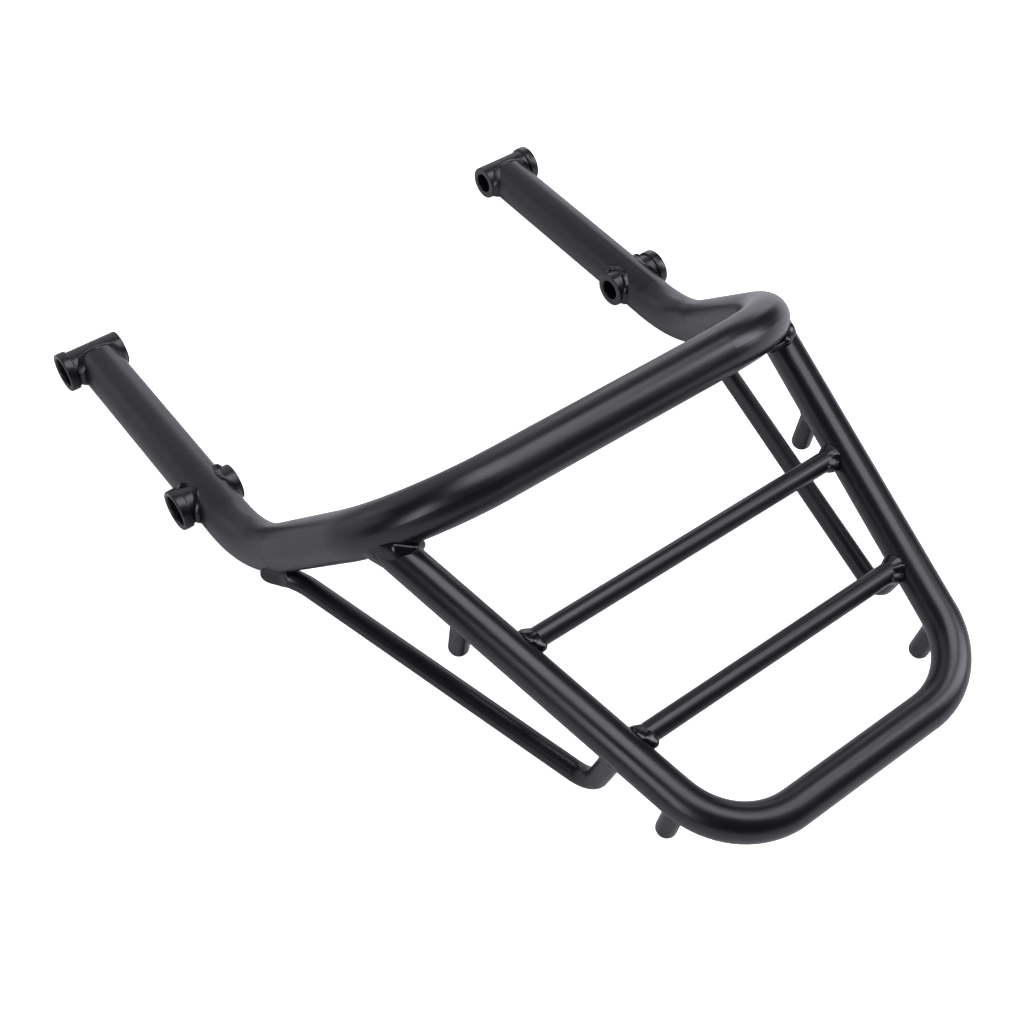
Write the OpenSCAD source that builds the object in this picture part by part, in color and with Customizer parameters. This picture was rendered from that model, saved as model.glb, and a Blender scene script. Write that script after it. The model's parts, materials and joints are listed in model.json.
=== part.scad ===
// Rear luggage rack for a motorcycle: a bent grab rail on four bolt bushes, with a
// carrier hoop, two rungs, four strap pegs and two stays welded to it.
// +Y points to the front of the motorcycle, +Z is up, and X = 0 is the middle.
// The origin is under the middle of the rack, on the surface that its arms lie on.

/* [Grab rail] */
// Outside diameter of the grab rail tube
rail_d = 25; // [22:0.5:28]
// Distance between the middles of the two arms
arm_spacing = 290; // [260:1:320]
// Length of an arm from its front bolt to the corner of its bend
arm_length = 175; // [165:1:200]
// Height of the cross bar over the arms
rail_rise = 99; // [85:1:115]
// Distance of the cross bar behind the corner of the arm's bend
rail_reach = 100; // [85:1:120]
// Length of the cross bar between its corners
cross_length = 236.6; // [225:0.1:260]
// Radius of the bend at the end of each arm
arm_bend_r = 67; // [50:1:75]
// Radius of the bend at each end of the cross bar
cross_bend_r = 62; // [50:1:65]
// How far an arm's end stops behind the middle of its front bush
arm_end_gap = 4; // [2:0.5:6]

/* [Bushes] */
// Diameter of a bush where it passes through its arm
bush_d = 20; // [18:0.5:21]
// Diameter of the head on the outer end of a bush
bush_head_d = 22.4; // [21.5:0.1:24]
// Width of that head
bush_head_w = 5.6; // [3:0.1:6]
// Diameter of the bolt hole
bush_bore_d = 12; // [8:0.5:13]
// Diameter of the recess for the bolt's head
bush_recess_d = 16.6; // [14:0.1:18]
// Depth of that recess
bush_recess_depth = 18; // [8:1:24]
// How far a bush stands out of the inner side of its arm
bush_inner_reach = 3.6; // [2:0.1:6]
// How far a bush stands out of the outer side of its arm
bush_outer_reach = 7.8; // [7:0.1:12]
// Bevel on the edges of a bush
bush_bevel = 0.6; // [0.2:0.1:1]
// Distance of the rear bushes behind the front ones
bush_pitch = 126.4; // [110:0.1:130]

/* [Hoop] */
// Outside diameter of the hoop's tube
hoop_d = 18.3; // [16:0.1:20]
// Where the hoop's end meets the bend of the cross bar, as an angle from the bend's lower end
hoop_join_turn = 14; // [8:0.5:24]
// Height of the hoop's end over the middle of the grab rail there
hoop_join_rise = 3; // [0:0.1:3]
// Width between the hoop's corners
hoop_rear_w = 149.4; // [130:0.1:180]
// Length from the cross bar to the hoop's rear bar
hoop_length = 179; // [160:1:200]
// Depth of the hoop's rear bar under the cross bar
hoop_rear_drop = 72.4; // [60:0.1:76]
// Radius of the hoop's corners
hoop_corner_r = 42.5; // [32:0.5:50]

/* [Rungs] */
// Diameter of a rung
rung_d = 10.4; // [8:0.1:12]
// Distance of the front rung behind the cross bar
rung_front_y = 57.8; // [45:0.1:70]
// Distance of the rear rung behind the cross bar
rung_rear_y = 118.8; // [100:0.1:130]

/* [Stays] */
// Diameter of a stay
stay_d = 10.4; // [8:0.1:12]
// Width of the flattened front end of a stay
stay_tab_w = 13; // [11:0.5:15]
// Thickness of that end
stay_tab_t = 4.3; // [3:0.1:6]
// Length over which a stay turns from round to flat
stay_tab_flare = 5; // [3:0.5:7]
// Length of the flat end in front of the middle of its seat
stay_tab_tip = 6; // [4:0.5:9]
// Distance of a stay's seat from the rear end of the arm's bend
stay_seat_run = 6; // [2:0.5:12]
// Angle of the seat round the grab rail, from its outer side to its underside
stay_seat_angle = 42; // [30:1:60]
// Angle between the flat end and the grab rail
stay_tab_turn = 60; // [45:1:75]
// Distance of a stay's front corner from the middle of its seat
stay_corner_run = 15; // [14:0.5:20]
// Radius of the bend at that corner
stay_front_r = 27; // [15:1:30]
// Height of a stay's foot over the middle of the arms
stay_foot_rise = 0.6; // [-4:0.1:8]
// Distance of a stay's foot behind the cross bar
stay_foot_y = 106.5; // [95:0.5:110]
// Radius of the bend in a stay's foot
stay_foot_r = 13.6; // [9:0.1:14]
// Distance of a stay's top behind the cross bar
stay_top_y = 119.5; // [112:0.5:128]
// How far a stay's top stands outside the middle of the hoop's rail
stay_top_out = 2.8; // [0:0.1:3.5]

/* [Pegs] */
// Diameter of a strap peg
peg_d = 10.2; // [8:0.1:12]
// Length of a peg from the middle of its rail to its tip
peg_length = 35; // [28:0.5:38]
// Rounding of a peg's tip
peg_round = 4; // [1:0.5:4]
// Distance of the front pegs behind the cross bar
peg_front_y = 30.2; // [25:0.1:45]
// Lean of the front pegs towards the front
peg_front_lean = 6; // [0:0.5:15]
// Distance of the rear pegs behind the cross bar
peg_rear_y = 149.5; // [135:0.1:155]
// Lean of the rear pegs towards the front
peg_rear_lean = 9; // [0:0.5:15]

/* [Welds] */
// How far a weld stands out from the bar that it runs round
weld_leg = 2.2; // [1:0.1:3]
// How far a weld reaches along that bar
weld_reach = 3.5; // [2:0.1:5]

/* [Hidden] */
$fn = 64;

steel = "#1c1c1e";
bushing = "#3a3a3d";
weld = "#2a2a2d";
// A bent stretch of bar is this much thicker than a straight one, which runs this far into it
bend_swell = 0.1;
bend_run_in = 0.5;
// Steps of a full circle along a bend
bend_fn = 192;
// A stay's flat end is pressed this far into its seat
stay_tab_seat = 0.4;
// How much the flare of that end stays inside its round tip
stay_tab_neck = 0.3;
// How far a stay's foot lies outside the middle of the hoop's rail
stay_foot_out = 0.9;
// A weld's thin edge, on the diameter
weld_lip = 0.8;
// How far the front bush's weld stays inside the arm's end, and a rear one's inside its side
weld_end_step = 0.8;
// How far a rear bush's weld reaches along the bush
bush_weld_reach = 1.6;
// Where the hoop's weld starts, from the end of the hoop's tube
weld_hoop_root = 3;
// Step of the curve on a peg's tip
peg_round_step = 15;

arm_x = arm_spacing / 2;
arm_z = rail_d / 2;
rack_depth = arm_length + rail_reach + hoop_length;
front_y = (rack_depth + hoop_d / 2 - bush_head_d / 2) / 2;
rear_bush_y = front_y - bush_pitch;
cross_y = front_y - arm_length - rail_reach;
cross_z = arm_z + rail_rise;

// Corners of the grab rail, from the front of the right arm to the middle of the cross bar
arm_tip = [arm_x, front_y - arm_end_gap, arm_z];
arm_corner = [arm_x, front_y - arm_length, arm_z];
cross_corner = [cross_length / 2, cross_y, cross_z];
cross_middle = [0, cross_y, cross_z];

// Corners of the hoop, from its front end on the right to the middle of its rear bar
hoop_tip = on_bend(arm_corner, cross_corner, cross_middle, cross_bend_r, hoop_join_turn)
    + [0, 0, hoop_join_rise];
hoop_corner = [hoop_rear_w / 2, cross_y - hoop_length, cross_z - hoop_rear_drop];
hoop_middle = [0, hoop_corner.y, hoop_corner.z];

// Seat of the right stay's flat end, on the outer underside of the arm's bend
seat_turn = turn(arm_tip, arm_corner, cross_corner) - stay_seat_run / arm_bend_r * 180 / PI;
seat_on_rail = on_bend(arm_tip, arm_corner, cross_corner, arm_bend_r, seat_turn);
seat_forward = -along_bend(arm_tip, arm_corner, cross_corner, arm_bend_r, seat_turn);
seat_side = side_of(-seat_forward);
seat_under = cross(seat_side, -seat_forward);
seat_out = seat_side * cos(stay_seat_angle) + seat_under * sin(stay_seat_angle);
tab_along = seat_forward * cos(stay_tab_turn) + cross(seat_out, seat_forward) * sin(stay_tab_turn);
tab_across = cross(tab_along, seat_out);
tab_middle = seat_on_rail + seat_out * (rail_d / 2 + stay_tab_t / 2 - stay_tab_seat);

// Corners of the right stay, from its flat end to its top
stay_corner = tab_middle - tab_along * stay_corner_run;
stay_foot = [hoop_at(stay_foot_y).x + stay_foot_out, cross_y - stay_foot_y, arm_z + stay_foot_rise];
stay_top = hoop_at(stay_top_y) + [stay_top_out, 0, stay_top_out];

// Where the right stay starts to turn flat, is flat and starts to round, from the middle of its seat
tab_crease = setback(tab_middle, stay_corner, stay_foot, stay_front_r) - stay_corner_run;
tab_flat = tab_crease + stay_tab_flare;
tab_round = stay_tab_tip - stay_tab_w / 2;

// Point on the right hoop rail's middle line, at a distance behind the cross bar
function hoop_at(behind) =
    hoop_corner + (hoop_tip - hoop_corner) * (hoop_length - behind) / (hoop_tip.y - hoop_corner.y);

function unit(v) = v / norm(v);
function turn(p, q, r) = acos(unit(q - p) * unit(r - q));
function setback(p, q, r, bend_r) = bend_r * tan(turn(p, q, r) / 2);
function bend_start(p, q, r, bend_r) = q + unit(p - q) * setback(p, q, r, bend_r);
function bend_end(p, q, r, bend_r) = q + unit(r - q) * setback(p, q, r, bend_r);
function bend_middle(p, q, r, bend_r) =
    q + unit(unit(p - q) + unit(r - q)) * bend_r / cos(turn(p, q, r) / 2);

// Point on the middle line of a bend at corner q, at an angle from its start, and the way on from there
function on_bend(p, q, r, bend_r, angle) =
    bend_middle(p, q, r, bend_r)
    + bend_r * (bend_side(p, q, r, bend_r) * cos(angle) + unit(q - p) * sin(angle));
function along_bend(p, q, r, bend_r, angle) =
    unit(q - p) * cos(angle) - bend_side(p, q, r, bend_r) * sin(angle);
function bend_side(p, q, r, bend_r) =
    unit(bend_start(p, q, r, bend_r) - bend_middle(p, q, r, bend_r));

// Direction square to v that lies flat, unless v is nearly upright
function side_of(v) = unit(cross(abs(unit(v).z) < 0.9 ? [0, 0, 1] : [1, 0, 0], v));

// Puts its children at a point, with their X and Y axes along two directions
module placed(at, x_axis, y_axis) {
    z_axis = cross(x_axis, y_axis);
    multmatrix([
        [x_axis.x, y_axis.x, z_axis.x, at.x],
        [x_axis.y, y_axis.y, z_axis.y, at.y],
        [x_axis.z, y_axis.z, z_axis.z, at.z],
        [0, 0, 0, 1]
    ])
        children();
}

// Puts its children at a point, with their Z axis along a direction
module aimed(at, v) {
    placed(at, side_of(v), cross(unit(v), side_of(v)))
        children();
}

// Straight round bar between two points
module bar(a, b, d) {
    aimed(a, b - a)
        cylinder(h = norm(b - a), d = d);
}

// Straight bar from a free end to a bend, which it runs a little way into
module bar_to_bend(a, b, d) {
    bar(a, b + unit(b - a) * bend_run_in, d);
}

// Straight bar between two bends, which runs a little way into both
module bar_into_bends(a, b, d) {
    bar_to_bend(a - unit(b - a) * bend_run_in, b, d);
}

// Round bend at corner q, on the way from p to r
module bend(p, q, r, bend_r, d) {
    middle = bend_middle(p, q, r, bend_r);
    placed(middle, unit(bend_start(p, q, r, bend_r) - middle), unit(q - p))
        rotate_extrude(angle = turn(p, q, r), $fn = bend_fn)
            translate([bend_r, 0])
                circle(d = d + bend_swell);
}

module both_sides() {
    children();
    mirrored()
        children();
}

// The left side's pieces are the right side's, mirrored
module mirrored() {
    mirror([1, 0, 0])
        children();
}

// The right half of the grab rail, uncut
module rail_half() {
    bar_to_bend(arm_tip, bend_start(arm_tip, arm_corner, cross_corner, arm_bend_r), rail_d);
    bend(arm_tip, arm_corner, cross_corner, arm_bend_r, rail_d);
    rail_riser(rail_d);
}

// The part of the grab rail that rises to the cross bar on the right, with its upper bend
module rail_riser(d) {
    bar_into_bends(
        bend_end(arm_tip, arm_corner, cross_corner, arm_bend_r),
        bend_start(arm_corner, cross_corner, cross_middle, cross_bend_r),
        d
    );
    bend(arm_corner, cross_corner, cross_middle, cross_bend_r, d);
}

module cross_bar() {
    half = bend_end(arm_corner, cross_corner, cross_middle, cross_bend_r);
    bar_into_bends([-half.x, half.y, half.z], half, rail_d);
}

// Puts its children at a bush on the right arm, with their Z axis pointing outwards
module at_bush(y) {
    translate([arm_x, y, arm_z])
        rotate([0, 90, 0])
            children();
}

// Round space that a bush takes through the arm
module bush_space(y) {
    at_bush(y)
        cylinder(h = 2 * rail_d, d = bush_d, center = true);
}

module grab_rail() {
    color(steel)
        difference() {
            union() {
                both_sides()
                    rail_half();
                cross_bar();
            }
            both_sides() {
                bush_space(front_y);
                bush_space(rear_bush_y);
            }
        }
}

// Turned bush with a bolt hole from its inner end and a recess in its head
module bush(y) {
    inner = -rail_d / 2 - bush_inner_reach;
    outer = rail_d / 2 + bush_outer_reach;
    body_r = bush_d / 2;
    head_r = bush_head_d / 2;
    bore_r = bush_bore_d / 2;
    recess_r = bush_recess_d / 2;
    color(bushing)
        at_bush(y)
            rotate_extrude()
                polygon([
                    [bore_r, inner],
                    [body_r - bush_bevel, inner],
                    [body_r, inner + bush_bevel],
                    [body_r, outer - bush_head_w],
                    [head_r - bush_bevel, outer - bush_head_w],
                    [head_r, outer - bush_head_w + bush_bevel],
                    [head_r, outer - bush_bevel],
                    [head_r - bush_bevel, outer],
                    [recess_r, outer],
                    [recess_r, outer - bush_recess_depth],
                    [bore_r, outer - bush_recess_depth]
                ]);
}

module bush_front_right() {
    bush(front_y);
}

module bush_front_left() {
    mirrored()
        bush_front_right();
}

module bush_rear_right() {
    bush(rear_bush_y);
}

module bush_rear_left() {
    mirrored()
        bush_rear_right();
}

// Weld over the right arm's front end, above and below the bush
module weld_bush_front_right() {
    color(weld)
        difference() {
            translate(arm_tip)
                rotate([-90, 0, 0])
                    cylinder(
                        h = arm_end_gap - weld_end_step,
                        d1 = rail_d - weld_end_step,
                        d2 = rail_d - weld_leg * 2
                    );
            bush_space(front_y);
        }
}

module weld_bush_front_left() {
    mirrored()
        weld_bush_front_right();
}

// Weld round the rear bush, on the right arm's outer side (1) or its inner side (-1)
module weld_bush_rear(side) {
    color(weld)
        difference() {
            at_bush(rear_bush_y)
                rotate([side > 0 ? 0 : 180, 0, 0])
                    translate([0, 0, rail_d / 4])
                        cylinder(
                            h = rail_d / 4 + bush_weld_reach,
                            d1 = rail_d - weld_end_step,
                            d2 = bush_d + weld_lip
                        );
            bush_space(rear_bush_y);
            rail_half();
        }
}

module weld_bush_rear_right_outer() {
    weld_bush_rear(1);
}

module weld_bush_rear_right_inner() {
    weld_bush_rear(-1);
}

module weld_bush_rear_left_outer() {
    mirrored()
        weld_bush_rear_right_outer();
}

module weld_bush_rear_left_inner() {
    mirrored()
        weld_bush_rear_right_inner();
}

// The right rail of the hoop with its bend, uncut
module hoop_rail() {
    bar_to_bend(hoop_tip, bend_start(hoop_tip, hoop_corner, hoop_middle, hoop_corner_r), hoop_d);
    bend(hoop_tip, hoop_corner, hoop_middle, hoop_corner_r, hoop_d);
}

// The hoop's bent tube, coped to the grab rail at both ends
module rack_hoop() {
    end = bend_end(hoop_tip, hoop_corner, hoop_middle, hoop_corner_r);
    color(steel)
        difference() {
            union() {
                both_sides()
                    hoop_rail();
                bar_into_bends([-end.x, end.y, end.z], end, hoop_d);
            }
            both_sides()
                rail_half();
        }
}

// Weld round the right end of the hoop
module weld_hoop_right() {
    along = unit(hoop_corner - hoop_tip);
    toe = hoop_tip + along * 2 * rail_d;
    color(weld)
        difference() {
            intersection() {
                bar(hoop_tip + along * weld_hoop_root, toe, hoop_d + 2 * weld_leg);
                rail_riser(rail_d + 2 * weld_leg);
            }
            bar(hoop_tip, toe, hoop_d);
            rail_riser(rail_d);
        }
}

module weld_hoop_left() {
    mirrored()
        weld_hoop_right();
}

module rung(behind) {
    end = hoop_at(behind);
    color(steel)
        difference() {
            bar([-end.x, end.y, end.z], end, rung_d);
            both_sides()
                hoop_rail();
        }
}

module rung_front() {
    rung(rung_front_y);
}

module rung_rear() {
    rung(rung_rear_y);
}

// Weld round a bar of diameter d that leaves the right hoop rail along v
module rail_weld(behind, v, d) {
    color(weld)
        difference() {
            aimed(hoop_at(behind) + unit(v) * hoop_d / 4, v)
                cylinder(h = hoop_d / 4 + weld_reach, d1 = d + 3 * weld_leg, d2 = d + weld_lip);
            aimed(hoop_at(behind), v)
                cylinder(h = hoop_d, d = d);
            hoop_rail();
        }
}

module weld_rung_front_right() {
    rail_weld(rung_front_y, [-1, 0, 0], rung_d);
}

module weld_rung_front_left() {
    mirrored()
        weld_rung_front_right();
}

module weld_rung_rear_right() {
    rail_weld(rung_rear_y, [-1, 0, 0], rung_d);
}

module weld_rung_rear_left() {
    mirrored()
        weld_rung_rear_right();
}

// Flattened front end of the right stay, with a round tip
module stay_tab() {
    half_w = stay_tab_w / 2;
    half_t = stay_tab_t / 2;
    placed(tab_middle, seat_out, tab_across)
        intersection() {
            union() {
                translate([0, 0, tab_crease - bend_run_in])
                    cylinder(h = tab_round - tab_crease, d1 = stay_d, r2 = half_w - stay_tab_neck);
                translate([0, 0, tab_round])
                    rotate([0, 90, 0])
                        sphere(r = half_w);
            }
            rotate([90, 0, 0])
                linear_extrude(4 * half_w, center = true)
                    polygon([
                        [-stay_d, tab_crease - 2 * bend_run_in],
                        [stay_d, tab_crease - 2 * bend_run_in],
                        [half_t, tab_flat],
                        [half_t, stay_tab_tip + half_w],
                        [-half_t, stay_tab_tip + half_w],
                        [-half_t, tab_flat]
                    ]);
        }
}

// The right stay's bent bar, before it is coped
module stay_bar() {
    bend(tab_middle, stay_corner, stay_foot, stay_front_r, stay_d);
    bar_into_bends(
        bend_end(tab_middle, stay_corner, stay_foot, stay_front_r),
        bend_start(stay_corner, stay_foot, stay_top, stay_foot_r),
        stay_d
    );
    bend(stay_corner, stay_foot, stay_top, stay_foot_r, stay_d);
    bar_to_bend(stay_top, bend_end(stay_corner, stay_foot, stay_top, stay_foot_r), stay_d);
}

module stay_right() {
    color(steel)
        difference() {
            union() {
                stay_tab();
                stay_bar();
            }
            rail_half();
            hoop_rail();
        }
}

module stay_left() {
    mirrored()
        stay_right();
}

// Weld under the edges of the right stay's flat end
module weld_stay_front_right() {
    root = tab_middle - seat_out * stay_tab_t / 2;
    color(weld)
        difference() {
            intersection() {
                aimed(root, seat_out)
                    sphere(r = stay_tab_w / 2 + weld_leg);
                bar(
                    root - seat_out * stay_tab_w,
                    tab_middle + seat_out * weld_lip / 2,
                    2 * (stay_tab_w + weld_leg)
                );
            }
            stay_tab();
            bend(tab_middle, stay_corner, stay_foot, stay_front_r, stay_d);
            rail_half();
        }
}

module weld_stay_front_left() {
    mirrored()
        weld_stay_front_right();
}

// Weld round the top of the right stay, under the hoop's rail
module weld_stay_top_right() {
    down = unit(stay_foot - stay_top);
    color(weld)
        difference() {
            aimed(stay_top + down * (stay_top_out + hoop_d / 4), down)
                cylinder(h = hoop_d / 4 + weld_reach, d1 = stay_d + 3 * weld_leg, d2 = stay_d + weld_lip);
            aimed(stay_top, down)
                cylinder(h = 2 * hoop_d, d = stay_d);
            hoop_rail();
        }
}

module weld_stay_top_left() {
    mirrored()
        weld_stay_top_right();
}

// Direction of a peg that leans forwards by an angle
function peg_down(lean) = [0, sin(lean), -cos(lean)];

// Right strap peg, round at its tip and coped to the hoop's rail
module peg(behind, lean) {
    shank = peg_length - peg_round;
    color(steel)
        difference() {
            aimed(hoop_at(behind), peg_down(lean))
                rotate_extrude()
                    polygon(concat(
                        [[0, 0], [peg_d / 2, 0]],
                        [for (a = [0:peg_round_step:90])
                            [peg_d / 2 - peg_round + peg_round * cos(a), shank + peg_round * sin(a)]],
                        [[0, peg_length]]
                    ));
            hoop_rail();
        }
}

module peg_front_right() {
    peg(peg_front_y, peg_front_lean);
}

module peg_front_left() {
    mirrored()
        peg_front_right();
}

module peg_rear_right() {
    peg(peg_rear_y, peg_rear_lean);
}

module peg_rear_left() {
    mirrored()
        peg_rear_right();
}

module weld_peg_front_right() {
    rail_weld(peg_front_y, peg_down(peg_front_lean), peg_d);
}

module weld_peg_front_left() {
    mirrored()
        weld_peg_front_right();
}

module weld_peg_rear_right() {
    rail_weld(peg_rear_y, peg_down(peg_rear_lean), peg_d);
}

module weld_peg_rear_left() {
    mirrored()
        weld_peg_rear_right();
}

grab_rail();
bush_front_left();
bush_front_right();
bush_rear_left();
bush_rear_right();
weld_bush_front_left();
weld_bush_front_right();
weld_bush_rear_left_inner();
weld_bush_rear_left_outer();
weld_bush_rear_right_inner();
weld_bush_rear_right_outer();
rack_hoop();
weld_hoop_left();
weld_hoop_right();
rung_front();
weld_rung_front_left();
weld_rung_front_right();
rung_rear();
weld_rung_rear_left();
weld_rung_rear_right();
stay_left();
weld_stay_front_left();
weld_stay_top_left();
stay_right();
weld_stay_front_right();
weld_stay_top_right();
peg_front_left();
weld_peg_front_left();
peg_front_right();
weld_peg_front_right();
peg_rear_left();
weld_peg_rear_left();
peg_rear_right();
weld_peg_rear_right();
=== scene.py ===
import json
import math

import bpy
import numpy as np
from mathutils import Matrix, Vector

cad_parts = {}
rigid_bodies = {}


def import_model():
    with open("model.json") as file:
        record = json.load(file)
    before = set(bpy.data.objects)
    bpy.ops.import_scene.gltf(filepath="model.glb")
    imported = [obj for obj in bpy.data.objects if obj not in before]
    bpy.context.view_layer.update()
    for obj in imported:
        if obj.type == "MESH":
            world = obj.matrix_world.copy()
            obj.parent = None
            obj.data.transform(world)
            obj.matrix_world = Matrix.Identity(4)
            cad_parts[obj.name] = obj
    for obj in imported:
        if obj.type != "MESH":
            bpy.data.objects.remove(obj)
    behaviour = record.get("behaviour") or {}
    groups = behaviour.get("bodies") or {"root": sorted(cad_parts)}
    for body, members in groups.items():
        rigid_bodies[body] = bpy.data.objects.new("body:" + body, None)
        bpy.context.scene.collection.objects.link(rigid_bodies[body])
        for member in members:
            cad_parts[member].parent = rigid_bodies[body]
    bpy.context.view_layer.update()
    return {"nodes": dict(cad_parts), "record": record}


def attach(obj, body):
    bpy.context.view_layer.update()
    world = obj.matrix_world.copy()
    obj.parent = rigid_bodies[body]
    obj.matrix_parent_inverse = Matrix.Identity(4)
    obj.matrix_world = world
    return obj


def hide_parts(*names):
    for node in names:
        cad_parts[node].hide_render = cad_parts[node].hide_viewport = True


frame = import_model()

MM = 0.001
mounts = {mount["name"]: mount for mount in frame["record"]["mounts"]}
front_bolt = mounts["bolt_front_right"]["pos_m"]
rear_bolt = mounts["bolt_rear_right"]["pos_m"]

# Sizes that the solids are built from
RAIL_D = 25 * MM
ARM_SPACING = 290 * MM
ARM_LENGTH = 175 * MM
RAIL_RISE = 99 * MM
RAIL_REACH = 100 * MM
CROSS_LENGTH = 236.6 * MM
ARM_BEND_R = 67 * MM
CROSS_BEND_R = 62 * MM
ARM_END_GAP = 4 * MM
BUSH_D = 20 * MM
BUSH_HEAD_D = 22.4 * MM
BUSH_HEAD_W = 5.6 * MM
BUSH_BORE_D = 12 * MM
BUSH_RECESS_D = 16.6 * MM
BUSH_RECESS_DEPTH = 18 * MM
BUSH_INNER_REACH = 3.6 * MM
BUSH_OUTER_REACH = 7.8 * MM
HOOP_D = 18.3 * MM
HOOP_JOIN_TURN = math.radians(14)
HOOP_JOIN_RISE = 3 * MM
HOOP_REAR_W = 149.4 * MM
HOOP_LENGTH = 179 * MM
HOOP_REAR_DROP = 72.4 * MM
HOOP_CORNER_R = 42.5 * MM
RUNG_D = 10.4 * MM
RUNG_Y = {"front": 57.8 * MM, "rear": 118.8 * MM}
PEG_D = 10.2 * MM
PEG_Y = {"front": 30.2 * MM, "rear": 149.5 * MM}
PEG_LEAN = {"front": math.radians(6), "rear": math.radians(9)}
STAY_D = 10.4 * MM
STAY_TOP_Y = 119.5 * MM
STAY_TOP_OUT = 2.8 * MM
STAY_FOOT_Y = 106.5 * MM
STAY_FOOT_OUT = 0.9 * MM
STAY_FOOT_RISE = 0.6 * MM
STAY_FOOT_R = 13.6 * MM
STAY_FRONT_R = 27 * MM
STAY_SEAT_RUN = 6 * MM
STAY_SEAT_ANGLE = math.radians(42)
STAY_TAB_TURN = math.radians(60)
STAY_TAB_W = 13 * MM
STAY_TAB_T = 4.3 * MM
STAY_TAB_TIP = 6 * MM
STAY_TAB_SEAT = 0.4 * MM
STAY_CORNER_RUN = 15 * MM
TAB_TWIST = math.radians(40)
TAB_SHIFT = 2.5 * MM

ARM_X = ARM_SPACING / 2
ARM_Z = front_bolt[2]
FRONT_Y = front_bolt[1]
REAR_BUSH_Y = rear_bolt[1]
CROSS_Y = FRONT_Y - ARM_LENGTH - RAIL_REACH
CROSS_Z = ARM_Z + RAIL_RISE

# Camera: where it stands in the part's frame, in metres, and what it sees
CAMERA_PLACE = Vector((-0.351859, -0.412119, 0.626473))
CAMERA_RIGHT = Vector((0.794974, -0.60623, 0.022373))
CAMERA_DOWN = Vector((-0.450093, -0.614149, -0.648258))
CAMERA_LENS_MM = 54.162
CAMERA_SENSOR_MM = 36.0

SIDES = {"right": 1, "left": -1}


def unit(v):
    return v / np.linalg.norm(v, axis=-1, keepdims=True)


def dot(a, b):
    return (a * b).sum(-1, keepdims=True)


def across(v, n):
    """The part of v that is square to n, at unit length."""
    return unit(v - dot(v, n) * n)


# Middle lines of the tubes


def on_bend(before, corner, after, radius, angle):
    """Place and direction on a bend's middle line, at an angle from its start."""
    back, on = unit(before - corner), unit(after - corner)
    turn = math.pi - math.acos(back @ on)
    start = corner + back * radius * math.tan(turn / 2)
    centre = corner + unit(back + on) * radius / math.cos(turn / 2)
    side = unit(start - centre)
    place = centre + radius * (side * math.cos(angle) - back * math.sin(angle))
    return place, -back * math.cos(angle) - side * math.sin(angle)


def bend_turn(before, corner, after):
    return math.pi - math.acos(unit(before - corner) @ unit(after - corner))


class Tube:
    """A round tube along a middle line with rounded corners."""

    STEP = 0.5 * MM

    def __init__(self, corners, bend_radii, diameter):
        corners = [np.array(c, float) for c in corners]
        line = [corners[0]]
        for before, corner, after, radius in zip(corners, corners[1:], corners[2:], bend_radii):
            line += self.bend(before, corner, after, radius)
        line.append(corners[-1])
        line = np.array(line)
        run = np.r_[0, np.cumsum(np.linalg.norm(np.diff(line, axis=0), axis=1))]
        steps = np.linspace(0, run[-1], int(run[-1] / self.STEP) + 2)
        self.middle = np.stack([np.interp(steps, run, line[:, k]) for k in range(3)], 1)
        self.along = unit(np.gradient(self.middle, axis=0))
        self.radius = diameter / 2

    def bend(self, before, corner, after, radius):
        turn = bend_turn(before, corner, after)
        angles = np.linspace(0, turn, int(radius * turn / self.STEP) + 2)
        return [on_bend(before, corner, after, radius, angle)[0] for angle in angles]

    def nearest(self, points):
        """The points of the middle line that are nearest to some points."""
        k = np.argmin(((points[:, None] - self.middle[None]) ** 2).sum(-1), axis=1)
        return self.middle[k] + self.along[k] * dot(points - self.middle[k], self.along[k])

    def normal(self, points):
        return unit(points - self.nearest(points))

    def distance(self, points):
        return np.linalg.norm(points - self.nearest(points), axis=1)

    def onto(self, points, sink):
        """Moves points onto the tube's surface, or under it by sink."""
        return self.nearest(points) + self.normal(points) * (self.radius - sink)


def mirrored(point, side):
    return np.array([point[0] * side, point[1], point[2]])


def rail_corners(side):
    corners = [
        (ARM_X, FRONT_Y, ARM_Z),
        (ARM_X, FRONT_Y - ARM_LENGTH, ARM_Z),
        (CROSS_LENGTH / 2, CROSS_Y, CROSS_Z),
        (0, CROSS_Y, CROSS_Z),
    ]
    return [mirrored(np.array(c), side) for c in corners]


def stay_seat():
    """Middle of the right stay's flat end, its outward direction and its direction to the tip."""
    tip, low, high, _ = rail_corners(1)
    turn = bend_turn(tip, low, high) - STAY_SEAT_RUN / ARM_BEND_R
    place, along = on_bend(tip, low, high, ARM_BEND_R, turn)
    level = unit(np.cross([0, 0, 1], along))
    under = np.cross(level, along)
    out = level * math.cos(STAY_SEAT_ANGLE) + under * math.sin(STAY_SEAT_ANGLE)
    to_tip = -along * math.cos(STAY_TAB_TURN) + np.cross(out, -along) * math.sin(STAY_TAB_TURN)
    return place + out * (RAIL_D / 2 + STAY_TAB_T / 2 - STAY_TAB_SEAT), out, to_tip


def stay_corners():
    """Corners of the right stay, from its top to its flat tip."""
    seat, _, to_tip = stay_seat()
    top = hoop_at(STAY_TOP_Y) + np.array([STAY_TOP_OUT, 0, STAY_TOP_OUT])
    foot_x = hoop_at(STAY_FOOT_Y)[0] + STAY_FOOT_OUT
    foot = np.array([foot_x, CROSS_Y - STAY_FOOT_Y, ARM_Z + STAY_FOOT_RISE])
    return [top, foot, seat - to_tip * STAY_CORNER_RUN, seat + to_tip * STAY_TAB_TIP]


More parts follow.
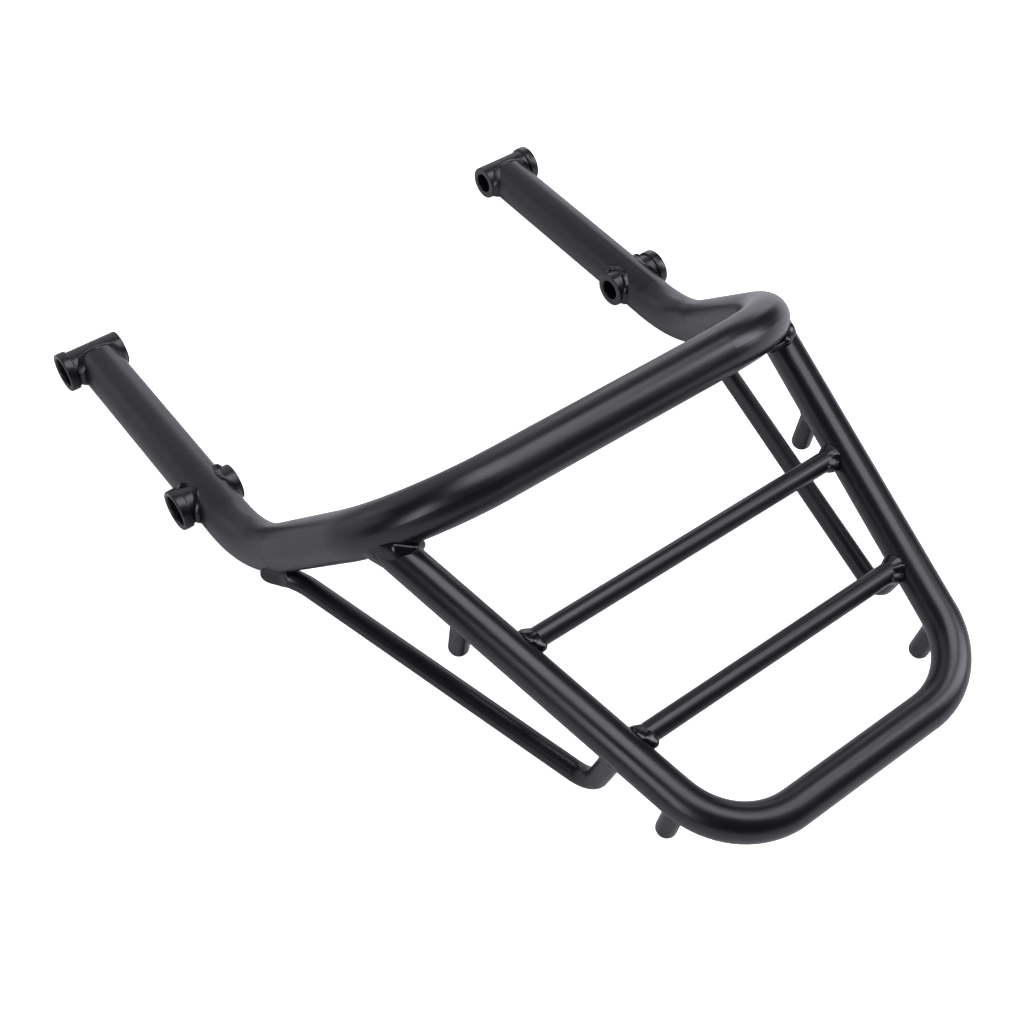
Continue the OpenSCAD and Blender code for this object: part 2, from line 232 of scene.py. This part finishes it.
def hoop_tip():
    """Where the middle line of the hoop's right rail starts, near the grab rail's upper bend."""
    _, low, high, middle = rail_corners(1)
    place, _ = on_bend(low, high, middle, CROSS_BEND_R, HOOP_JOIN_TURN)
    return place + np.array([0, 0, HOOP_JOIN_RISE])


def hoop_at(behind, side=1):
    """Point on the middle line of a hoop rail, at a distance behind the cross bar."""
    tip = hoop_tip()
    corner = np.array([HOOP_REAR_W / 2, CROSS_Y - HOOP_LENGTH, CROSS_Z - HOOP_REAR_DROP])
    share = (HOOP_LENGTH - behind) / (tip[1] - corner[1])
    return mirrored(corner + (tip - corner) * share, side)


def hoop_tube(side):
    corner = hoop_at(HOOP_LENGTH, side)
    return Tube([mirrored(hoop_tip(), side), corner, corner * [0, 1, 1]], [HOOP_CORNER_R], HOOP_D)


def rail_tube(side):
    return Tube(rail_corners(side), [ARM_BEND_R, CROSS_BEND_R], RAIL_D)


def bush_tube(side, y):
    inner = ARM_X - RAIL_D / 2 - BUSH_INNER_REACH
    outer = ARM_X + RAIL_D / 2 + BUSH_OUTER_REACH
    return Tube([(inner * side, y, ARM_Z), (outer * side, y, ARM_Z)], [], BUSH_D)


# Meshes


def make_mesh(name, verts, faces, sharp_degrees=40):
    mesh = bpy.data.meshes.new(name)
    mesh.from_pydata([tuple(v) for v in verts], [], faces)
    mesh.validate()
    mesh.shade_smooth()
    mesh.set_sharp_from_angle(angle=math.radians(sharp_degrees))
    piece = bpy.data.objects.new(name, mesh)
    bpy.context.scene.collection.objects.link(piece)
    return piece


def ring_faces(rings, size):
    """Quads that join each ring of points to the next one, and the last to the first."""
    faces = []
    for i in range(rings):
        low, high = i * size, (i + 1) % rings * size
        for j in range(size):
            k = (j + 1) % size
            faces.append((low + j, high + j, high + k, low + k))
    return faces


# Weld beads

BEAD_STEP = 0.28 * MM
BEAD_LEAST_STEPS = 96
BEAD_COLUMNS = 14
BEAD_SINK = 0.12 * MM
BEAD_ROOT = 0.6 * MM
BEAD_COVER = 0.35 * MM
BEAD_LOWEST = 0.05 * MM
BEAD_HOLLOW = 1.0 * MM
LEG_WANDER = 0.10
BULGE_WANDER = 0.25
LUMP_SPREAD = 0.6
SEAM_HALVINGS = 30
SECTION_STRETCH = 1.35
RIPPLE_LAG = 0.9


def loop_noise(rng, turn, first=2, last=9):
    """Smooth noise of about 1 round a closed loop."""
    total = np.zeros_like(turn)
    for k in range(first, last + 1):
        total += rng.uniform(0.4, 1.0) * np.sin(k * turn + rng.uniform(0, 2 * math.pi)) / math.sqrt(last)
    return total


def weld_bead(name, carrier, origin, direction, bar_radius, legs, bulge, seed,
              least=0.0, pitch=2.4 * MM, ripple=0.16 * MM, lumps=(), spread=None,
              heavy=(0, 0)):
    """A bead round the line where a bar's surface meets a carrier tube.

    The bar leaves the carrier from origin along direction. legs are the bead's reach on the
    carrier and on the bar, lumps holds (angle round the bar, height, width along the bead).
    spread is an offset each way that makes the bar's section longer than it is thick.
    heavy is an angle round the bar and how much farther the bead reaches along the bar there,
    where it is hollow.
    """
    rng = np.random.default_rng(seed)
    direction = unit(np.array(direction, float))
    up = np.array([0, 0, 1.0]) if abs(direction[2]) < 0.8 else np.array([0, 1.0, 0])
    up = across(up, direction) if spread is None else unit(spread)
    beside = np.cross(direction, up)
    count = max(BEAD_LEAST_STEPS, int(2 * math.pi * bar_radius / BEAD_STEP))
    turn = np.linspace(0, 2 * math.pi, count, endpoint=False)[:, None]
    out_of_bar = up * np.cos(turn) + beside * np.sin(turn)
    heart = np.zeros((count, 3))
    if spread is not None:
        share = np.clip(SECTION_STRETCH * np.cos(turn), -1, 1)
        heart = share * spread
    starts = origin + heart + out_of_bar * bar_radius

    # The seam, found by halving the way along the bar to the carrier's surface
    low = np.zeros((count, 1))
    high = np.full((count, 1), 3 * carrier.radius)
    for _ in range(SEAM_HALVINGS):
        middle = (low + high) / 2
        inside = (carrier.distance(starts + direction * middle) < carrier.radius)[:, None]
        low, high = np.where(inside, middle, low), np.where(inside, high, middle)
    seam = starts + direction * np.maximum(low, least)

    out_of_carrier = carrier.normal(seam)
    on_carrier = across(out_of_bar, out_of_carrier)
    on_bar = across(out_of_carrier, out_of_bar)
    outwards = unit(out_of_carrier + out_of_bar)

    gaps = np.linalg.norm(np.roll(seam, -1, 0) - seam, axis=1)
    run = np.r_[0, np.cumsum(gaps)[:-1]][:, None]
    waves = max(3, round(gaps.sum() / pitch))
    beat = run / gaps.sum() * waves
    flat_turn = turn[:, 0]
    wander = [loop_noise(rng, flat_turn)[:, None] for _ in range(3)]
    swelling = np.zeros((count, 1))
    for angle, height, width in lumps:
        off = (flat_turn - math.radians(angle) + math.pi) % (2 * math.pi) - math.pi
        swelling[:, 0] += height * np.exp(-(off * bar_radius / width) ** 2)

    reach_carrier = legs[0] * (1 + LEG_WANDER * wander[0]) + LUMP_SPREAD * swelling
    weight = heavy[1] * (0.5 + 0.5 * np.cos(turn - math.radians(heavy[0]))) ** 2
    reach_bar = legs[1] * (1 + LEG_WANDER * wander[1] + weight) + LUMP_SPREAD * swelling
    foot_carrier = carrier.onto(seam + on_carrier * reach_carrier, BEAD_SINK)
    on_line = seam + on_bar * reach_bar - origin - heart
    spoke = across(on_line, np.broadcast_to(direction, on_line.shape)) * (bar_radius - BEAD_SINK)
    foot_bar = origin + heart + direction * dot(on_line, direction) + spoke
    chord = (foot_carrier + foot_bar) / 2
    belly = bulge * (1 + BULGE_WANDER * wander[2]) - BEAD_HOLLOW * weight
    throat = np.maximum(dot(chord - seam, outwards) + belly, BEAD_COVER)
    crest = seam + outwards * (throat + swelling)
    control = 2 * crest - chord

    return bead_mesh(name, seam, outwards, foot_carrier, control, foot_bar, beat, ripple)


def bead_mesh(name, seam, outwards, first, control, last, beat, ripple):
    """A closed bead whose section is an arc over the seam, with ripples along it.

    Each ripple rises slowly and ends in a step. It lags at the bead's feet, as a weld's does.
    """
    columns = []
    for share in np.linspace(0, 1, BEAD_COLUMNS):
        place = (1 - share) ** 2 * first + 2 * share * (1 - share) * control + share ** 2 * last
        lag = RIPPLE_LAG * (2 * share - 1) ** 2
        phase = (beat + lag) % 1.0
        scale = (1 - phase) ** 0.6 - 0.6
        rise = math.sin(math.pi * share) ** 0.7
        columns.append(place + outwards * ripple * scale * rise)
    columns.append(seam - outwards * BEAD_ROOT)
    verts = np.stack(columns, 1).reshape(-1, 3)
    verts[:, 2] = np.maximum(verts[:, 2], BEAD_LOWEST)
    piece = make_mesh(name, verts, ring_faces(len(seam), BEAD_COLUMNS + 1))
    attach(piece, "root")
    return piece


def weld_hoop_ends():
    for name, side in SIDES.items():
        tip, corner = mirrored(hoop_tip(), side), hoop_at(HOOP_LENGTH, side)
        bead = weld_bead(
            "bead_hoop_" + name, rail_tube(side), tip, corner - tip, HOOP_D / 2,
            (2.0 * MM, 4.2 * MM), 0.5 * MM, seed=11 + side, pitch=3.2 * MM, ripple=0.07 * MM,
            lumps=(
                (62 * side, 1.3 * MM, 2.2 * MM),
                (20 * side, 0.8 * MM, 1.8 * MM),
                (-20 * side, 0.7 * MM, 1.8 * MM),
            ),
            heavy=(-95 * side, 1.1),
        )
        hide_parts("weld_hoop_" + name)


def weld_rungs():
    for place, behind in RUNG_Y.items():
        for name, side in SIDES.items():
            bead = weld_bead(
                "bead_rung_%s_%s" % (place, name), hoop_tube(side), hoop_at(behind, side),
                (-side, 0, 0), RUNG_D / 2, (1.2 * MM, 5.2 * MM), 0.15 * MM,
                seed=20 + side + int(behind / MM), pitch=3.4 * MM, ripple=0.1 * MM,
                lumps=(
                    (-85 * side, 1.2 * MM, 1.6 * MM),
                    (-35 * side, 0.5 * MM, 1.4 * MM),
                    (165, 0.5 * MM, 1.8 * MM),
                ),
            )
            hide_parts("weld_rung_%s_%s" % (place, name))


def weld_pegs():
    for place, behind in PEG_Y.items():
        lean = PEG_LEAN[place]
        for name, side in SIDES.items():
            bead = weld_bead(
                "bead_peg_%s_%s" % (place, name), hoop_tube(side), hoop_at(behind, side),
                (0, math.sin(lean), -math.cos(lean)), PEG_D / 2, (1.8 * MM, 3.2 * MM), 0.3 * MM,
                seed=40 + side + int(behind / MM), ripple=0.12 * MM,
            )
            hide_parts("weld_peg_%s_%s" % (place, name))


def weld_stay_tops():
    top, foot = stay_corners()[:2]
    for name, side in SIDES.items():
        bead = weld_bead(
            "bead_stay_top_" + name, hoop_tube(side), mirrored(top, side), mirrored(foot - top, side),
            STAY_D / 2, (1.8 * MM, 3.0 * MM), 0.4 * MM, seed=60 + side, ripple=0.14 * MM,
        )
        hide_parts("weld_stay_top_" + name)


def hung_tab():
    """Middle of the right stay's hung flat end, its face, its hanging and its tip's direction."""
    seat, out, to_tip = stay_seat()
    face = out * math.cos(TAB_TWIST) - np.cross(out, to_tip) * math.sin(TAB_TWIST)
    if face[2] < out[2]:
        face = out * math.cos(TAB_TWIST) + np.cross(out, to_tip) * math.sin(TAB_TWIST)
    hang = np.cross(face, to_tip)
    hang *= -np.sign(hang[2])
    return seat - face * TAB_SHIFT, face, hang, to_tip


TAB_WELD_HALF = 5.5 * MM
TAB_WELD_BACK = 3.2 * MM
TAB_WELD_START = 7 * MM


def weld_stay_fronts():
    """A bead where each stay's flat end goes into the rail's underside."""
    middle, _, hang, to_tip = hung_tab()
    origin = middle - to_tip * TAB_WELD_BACK - hang * TAB_WELD_START
    for name, side in SIDES.items():
        flip = np.array([side, 1, 1])
        bead = weld_bead(
            "bead_stay_front_" + name, rail_tube(side), origin * flip, hang * flip, STAY_TAB_T / 2,
            (1.6 * MM, 1.0 * MM), 0.3 * MM, seed=90 + side, ripple=0.1 * MM,
            spread=to_tip * flip * TAB_WELD_HALF,
        )
        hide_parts("weld_stay_front_" + name)


# Stays

STAY_POINTS = 56
TAB_FLAT = 9.5 * MM
TAB_CREASE = 15 * MM
TAB_SHIFT_RUN = 30 * MM
TAB_EDGE = 1.2 * MM
STAY_START_DEPTH = 2 * MM


def ease(x):
    x = np.clip(x, 0, 1)
    return x * x * (3 - 2 * x)


def make_stays():
    """Each stay as one bar that is pressed flat and round at its front end."""
    corners = stay_corners()
    _, face, _, _ = hung_tab()
    line = Tube(corners, [STAY_FOOT_R, STAY_FRONT_R], STAY_D)
    hoop = hoop_tube(1)
    keep = np.flatnonzero(hoop.distance(line.middle) > HOOP_D / 2 - STAY_START_DEPTH)
    middle, along = line.middle[keep[0]:], line.along[keep[0]:]
    left = np.r_[np.cumsum(np.linalg.norm(np.diff(middle, axis=0), axis=1)[::-1])[::-1], 0]
    middle = middle - face * TAB_SHIFT * (1 - ease(left / TAB_SHIFT_RUN))[:, None]

    # One frame along the bar, carried back from the flat end
    normals = np.zeros_like(middle)
    normal = face
    for k in range(len(middle) - 1, -1, -1):
        normal = across(normal, along[k])
        normals[k] = normal
    sides = np.cross(along, normals)

    # Half widths and half thicknesses, from a round bar to a flat end with a round tip
    half = STAY_TAB_W / 2
    flat = 1 - ease((left - TAB_FLAT) / (TAB_CREASE - TAB_FLAT))
    wide = STAY_D / 2 + (half - STAY_D / 2) * flat
    thick = STAY_D / 2 + (STAY_TAB_T / 2 - STAY_D / 2) * flat
    tip = np.clip(half - left, 0, half * 0.998)
    wide = np.minimum(wide, np.sqrt(half ** 2 - tip ** 2))
    edge = np.clip(TAB_EDGE - left, 0, TAB_EDGE) / TAB_EDGE
    thick = thick * np.sqrt(1 - 0.75 * edge ** 2)
    power = 2 / (2 + 2.5 * flat)
    turn = np.linspace(0, 2 * math.pi, STAY_POINTS, endpoint=False)
    for name, side in SIDES.items():
        verts = []
        for k in range(len(middle)):
            u = np.sign(np.cos(turn)) * np.abs(np.cos(turn)) ** power[k] * thick[k]
            v = np.sign(np.sin(turn)) * np.abs(np.sin(turn)) ** power[k] * wide[k]
            ring = middle[k] + u[:, None] * normals[k] + v[:, None] * sides[k]
            verts += list(ring * [side, 1, 1])
        count = len(middle)
        faces = ring_faces(count, STAY_POINTS)[:-STAY_POINTS]
        faces.append(tuple(range(STAY_POINTS)))
        faces.append(tuple(range((count - 1) * STAY_POINTS, count * STAY_POINTS))[::-1])
        if side < 0:
            faces = [face[::-1] for face in faces]
        piece = make_mesh("pressed_stay_" + name, verts, faces)
        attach(piece, "root")
        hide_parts("stay_" + name)


# Weld beads at the bushes


def weld_bushes():
    for name, side in SIDES.items():
        bead = weld_bead(
            "bead_bush_front_" + name, bush_tube(side, FRONT_Y), np.array([ARM_X * side, FRONT_Y, ARM_Z]),
            (0, -1, 0), RAIL_D / 2, (2.8 * MM, 2.4 * MM), 0.15 * MM, seed=70 + side,
            least=ARM_END_GAP, ripple=0.0,
        )
        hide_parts("weld_bush_front_" + name)
        for end, way in (("outer", 1), ("inner", -1)):
            bead = weld_bead(
                "bead_bush_rear_%s_%s" % (name, end), rail_tube(side),
                np.array([ARM_X * side, REAR_BUSH_Y, ARM_Z]), (way * side, 0, 0), BUSH_D / 2,
                (2.2 * MM, 1.9 * MM), 0.3 * MM, seed=80 + side * 3 + way, ripple=0.1 * MM,
                lumps=((-40 * way * side, 1.2 * MM, 2.0 * MM), (-70 * way * side, 0.7 * MM, 1.8 * MM)),
            )
            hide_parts("weld_bush_rear_%s_%s" % (name, end))


# Bushes

BUSH_STEPS = 96
EDGE_STEPS = 5


def rounded_outline(corners):
    """A closed outline with its corners rounded. Each corner is (along, radius, rounding)."""
    points = []
    places = [np.array(c[:2], float) for c in corners]
    for k, corner in enumerate(corners):
        here, before, after = places[k], places[k - 1], places[(k + 1) % len(places)]
        back, on = unit(before - here), unit(after - here)
        turn = math.pi - math.acos(back @ on)
        start = here + back * corner[2] * math.tan(turn / 2)
        centre = here + unit(back + on) * corner[2] / math.cos(turn / 2)
        side = unit(start - centre)
        for angle in np.linspace(0, turn, EDGE_STEPS):
            points.append(centre + corner[2] * (side * math.cos(angle) - back * math.sin(angle)))
    return np.array(points)


def make_bushes():
    inner = -RAIL_D / 2 - BUSH_INNER_REACH
    outer = RAIL_D / 2 + BUSH_OUTER_REACH
    outline = rounded_outline([
        (inner, BUSH_BORE_D / 2, 0.5 * MM),
        (inner, BUSH_D / 2, 0.7 * MM),
        (outer - BUSH_HEAD_W, BUSH_D / 2, 0.3 * MM),
        (outer - BUSH_HEAD_W, BUSH_HEAD_D / 2, 0.6 * MM),
        (outer, BUSH_HEAD_D / 2, 0.8 * MM),
        (outer, BUSH_RECESS_D / 2, 1.4 * MM),
        (outer - BUSH_RECESS_DEPTH, BUSH_RECESS_D / 2, 0.2 * MM),
        (outer - BUSH_RECESS_DEPTH, BUSH_BORE_D / 2, 0.3 * MM),
    ])
    for name, side in SIDES.items():
        for place, y in (("front", FRONT_Y), ("rear", REAR_BUSH_Y)):
            verts = []
            for k in range(BUSH_STEPS):
                angle = 2 * math.pi * k / BUSH_STEPS * side
                for along, radius in outline:
                    verts.append((
                        side * (ARM_X + along),
                        y + radius * math.cos(angle),
                        ARM_Z + radius * math.sin(angle),
                    ))
            piece = make_mesh("turned_bush_%s_%s" % (place, name), verts,
                              ring_faces(BUSH_STEPS, len(outline)), 60)
            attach(piece, "root")
            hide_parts("bush_%s_%s" % (place, name))


# Camera, light and floor

LIGHT_TINT = (0.93, 0.91, 1.0)
LIGHT_AIM = Vector((0, -0.05, 0.06))
WORLD_GLOW = 0.03
SEEN_GLOW = 1.0
FLOOR_SIZE = 8
FLOOR_DROP = 0.5 * MM
FLOOR_SHADE = 0.85


def make_camera():
    data = bpy.data.cameras.new("camera")
    data.lens = CAMERA_LENS_MM
    data.sensor_width = CAMERA_SENSOR_MM
    data.sensor_fit = "HORIZONTAL"
    data.clip_start = 0.01
    camera = bpy.data.objects.new("camera", data)
    right = CAMERA_RIGHT.normalized()
    up = -(CAMERA_DOWN - CAMERA_DOWN.project(right)).normalized()
    back = right.cross(up)
    turn = Matrix((right, up, back)).transposed()
    camera.matrix_world = Matrix.Translation(CAMERA_PLACE) @ turn.to_4x4()
    bpy.context.scene.collection.objects.link(camera)
    bpy.context.scene.camera = camera


def area_light(name, azimuth, elevation, far, size, radiance):
    """A soft box that faces the rack from a direction in degrees, at a distance in metres."""
    turn, rise = math.radians(azimuth), math.radians(elevation)
    way = Vector((math.cos(rise) * math.cos(turn), math.cos(rise) * math.sin(turn), math.sin(rise)))
    data = bpy.data.lights.new(name, "AREA")
    data.shape = "RECTANGLE"
    data.size, data.size_y = size
    data.energy = 4 * radiance * size[0] * size[1]
    data.color = LIGHT_TINT
    light = bpy.data.objects.new(name, data)
    light.location = LIGHT_AIM + way * far
    light.rotation_euler = way.to_track_quat("Z", "Y").to_euler()
    bpy.context.scene.collection.objects.link(light)


def make_studio():
    """A dim world, white where the camera sees it, and six soft boxes."""
    world = bpy.data.worlds.new("studio")
    bpy.context.scene.world = world
    world.use_nodes = True
    nodes, links = world.node_tree.nodes, world.node_tree.links
    nodes.clear()
    out = nodes.new("ShaderNodeOutputWorld")
    light = nodes.new("ShaderNodeBackground")
    light.inputs["Strength"].default_value = WORLD_GLOW
    seen = nodes.new("ShaderNodeBackground")
    seen.inputs["Color"].default_value = (1, 1, 1, 1)
    seen.inputs["Strength"].default_value = SEEN_GLOW
    path = nodes.new("ShaderNodeLightPath")
    mix = nodes.new("ShaderNodeMixShader")
    links.new(path.outputs["Is Camera Ray"], mix.inputs["Fac"])
    links.new(light.outputs[0], mix.inputs[1])
    links.new(seen.outputs[0], mix.inputs[2])
    links.new(mix.outputs[0], out.inputs["Surface"])
    area_light("overhead", -20, 80, 1.8, (1.35, 1.35), 3.2)
    area_light("right_rear", -30, 30, 2.0, (0.7, 1.6), 4.4)
    area_light("left_rear", 206, 28, 2.0, (0.5, 1.2), 4.5)
    area_light("front_left", 140, 15, 2.4, (2.0, 1.3), 0.7)
    area_light("front_middle", 90, 30, 2.4, (3.2, 2.2), 0.6)
    area_light("front_right", 42, 12, 2.4, (1.7, 1.2), 1.2)
    bpy.context.scene.view_settings.view_transform = "Standard"


def make_floor():
    """A pale floor that glows only to the camera, so that it looks white and keeps its shadow."""
    bpy.ops.mesh.primitive_plane_add(size=FLOOR_SIZE, location=(0, 0, -FLOOR_DROP))
    floor = bpy.context.object
    floor.name = "floor"
    material = bpy.data.materials.new("floor_white")
    material.use_nodes = True
    nodes, links = material.node_tree.nodes, material.node_tree.links
    shader = nodes["Principled BSDF"]
    shader.inputs["Base Color"].default_value = (FLOOR_SHADE, FLOOR_SHADE, FLOOR_SHADE, 1)
    shader.inputs["Roughness"].default_value = 0.9
    glow = nodes.new("ShaderNodeEmission")
    glow.inputs["Strength"].default_value = SEEN_GLOW
    path = nodes.new("ShaderNodeLightPath")
    seen = nodes.new("ShaderNodeMixShader")
    add = nodes.new("ShaderNodeAddShader")
    links.new(shader.outputs[0], add.inputs[0])
    links.new(glow.outputs[0], add.inputs[1])
    links.new(path.outputs["Is Camera Ray"], seen.inputs["Fac"])
    links.new(shader.outputs[0], seen.inputs[1])
    links.new(add.outputs[0], seen.inputs[2])
    links.new(seen.outputs[0], nodes["Material Output"].inputs["Surface"])
    floor.data.materials.append(material)


# Materials

GLOSS_SPREAD = 0.035
BUMP_DEPTH = 0.05 * MM
DUST_SHADE = 0.12
BLUE_SHARE = 1.35


class Paint:
    """Black powder coat: a dark base with fine texture, uneven gloss and dust."""

    def __init__(self, name, base, roughness, peel, grain_mm=1.1):
        self.material = bpy.data.materials.new(name)
        self.material.use_nodes = True
        self.nodes = self.material.node_tree.nodes
        self.links = self.material.node_tree.links
        self.shader = self.nodes["Principled BSDF"]
        self.shader.inputs["Specular IOR Level"].default_value = 0.5
        self.place = self.nodes.new("ShaderNodeTexCoord").outputs["Object"]
        self.gloss(roughness)
        self.surface(peel, grain_mm)
        self.colour(base)

    def noise(self, scale_mm, detail, roughness=0.5):
        node = self.nodes.new("ShaderNodeTexNoise")
        node.inputs["Scale"].default_value = 1 / (scale_mm * MM)
        node.inputs["Detail"].default_value = detail
        node.inputs["Roughness"].default_value = roughness
        self.links.new(self.place, node.inputs["Vector"])
        return node.outputs["Fac"]

    def ranged(self, value, low, high, to_low, to_high):
        node = self.nodes.new("ShaderNodeMapRange")
        node.inputs["From Min"].default_value = low
        node.inputs["From Max"].default_value = high
        node.inputs["To Min"].default_value = to_low
        node.inputs["To Max"].default_value = to_high
        self.links.new(value, node.inputs["Value"])
        return node.outputs["Result"]

    def gloss(self, roughness):
        broad = self.noise(45, 3)
        spread = self.ranged(broad, 0.3, 0.7, roughness - GLOSS_SPREAD, roughness + GLOSS_SPREAD)
        self.links.new(spread, self.shader.inputs["Roughness"])

    def surface(self, peel, grain_mm):
        grain = self.noise(grain_mm, 2)
        bump = self.nodes.new("ShaderNodeBump")
        bump.inputs["Strength"].default_value = peel
        bump.inputs["Distance"].default_value = BUMP_DEPTH
        self.links.new(grain, bump.inputs["Height"])
        self.links.new(bump.outputs["Normal"], self.shader.inputs["Normal"])

    def colour(self, base):
        dust = self.nodes.new("ShaderNodeTexVoronoi")
        dust.inputs["Scale"].default_value = 1 / (14 * MM)
        self.links.new(self.place, dust.inputs["Vector"])
        speck = self.ranged(dust.outputs["Distance"], 0.012, 0.02, 1.0, 0.0)
        broad = self.ranged(self.noise(70, 2), 0.3, 0.7, 0.9, 1.1)
        shade = self.nodes.new("ShaderNodeMix")
        shade.data_type = "RGBA"
        shade.inputs["A"].default_value = (base, base, base * BLUE_SHARE, 1)
        shade.inputs["B"].default_value = (DUST_SHADE, DUST_SHADE, DUST_SHADE, 1)
        self.links.new(speck, shade.inputs["Factor"])
        tone = self.nodes.new("ShaderNodeHueSaturation")
        self.links.new(shade.outputs["Result"], tone.inputs["Color"])
        self.links.new(broad, tone.inputs["Value"])
        self.links.new(tone.outputs["Color"], self.shader.inputs["Base Color"])


def dress():
    """Gives each node and piece its paint. The front bushes' welds are smooth, like the frame."""
    frame_paint = Paint("satin_black_coat", 0.005, 0.315, 0.2).material
    bush_paint = Paint("satin_black_bush", 0.005, 0.30, 0.2).material
    weld_paint = Paint("gloss_black_weld", 0.004, 0.25, 0.15, grain_mm=0.7).material
    paints = {"frame": frame_paint, "bush": bush_paint, "weld": weld_paint}
    slots = {part["node"]: part["material_slot"] for part in frame["record"]["subparts"]}
    for name, node in frame["nodes"].items():
        node.data.materials.clear()
        node.data.materials.append(paints[slots[name]])
    for piece in bpy.context.scene.objects:
        if piece.name.startswith("bead_"):
            smooth = piece.name.startswith("bead_bush_front_")
            piece.data.materials.append(frame_paint if smooth else weld_paint)
        if piece.name.startswith("turned_bush_"):
            piece.data.materials.append(bush_paint)
        if piece.name.startswith("pressed_stay_"):
            piece.data.materials.append(frame_paint)


make_camera()
make_studio()
make_floor()
weld_hoop_ends()
weld_rungs()
weld_pegs()
weld_stay_tops()
weld_stay_fronts()
weld_bushes()
make_stays()
make_bushes()
dress()
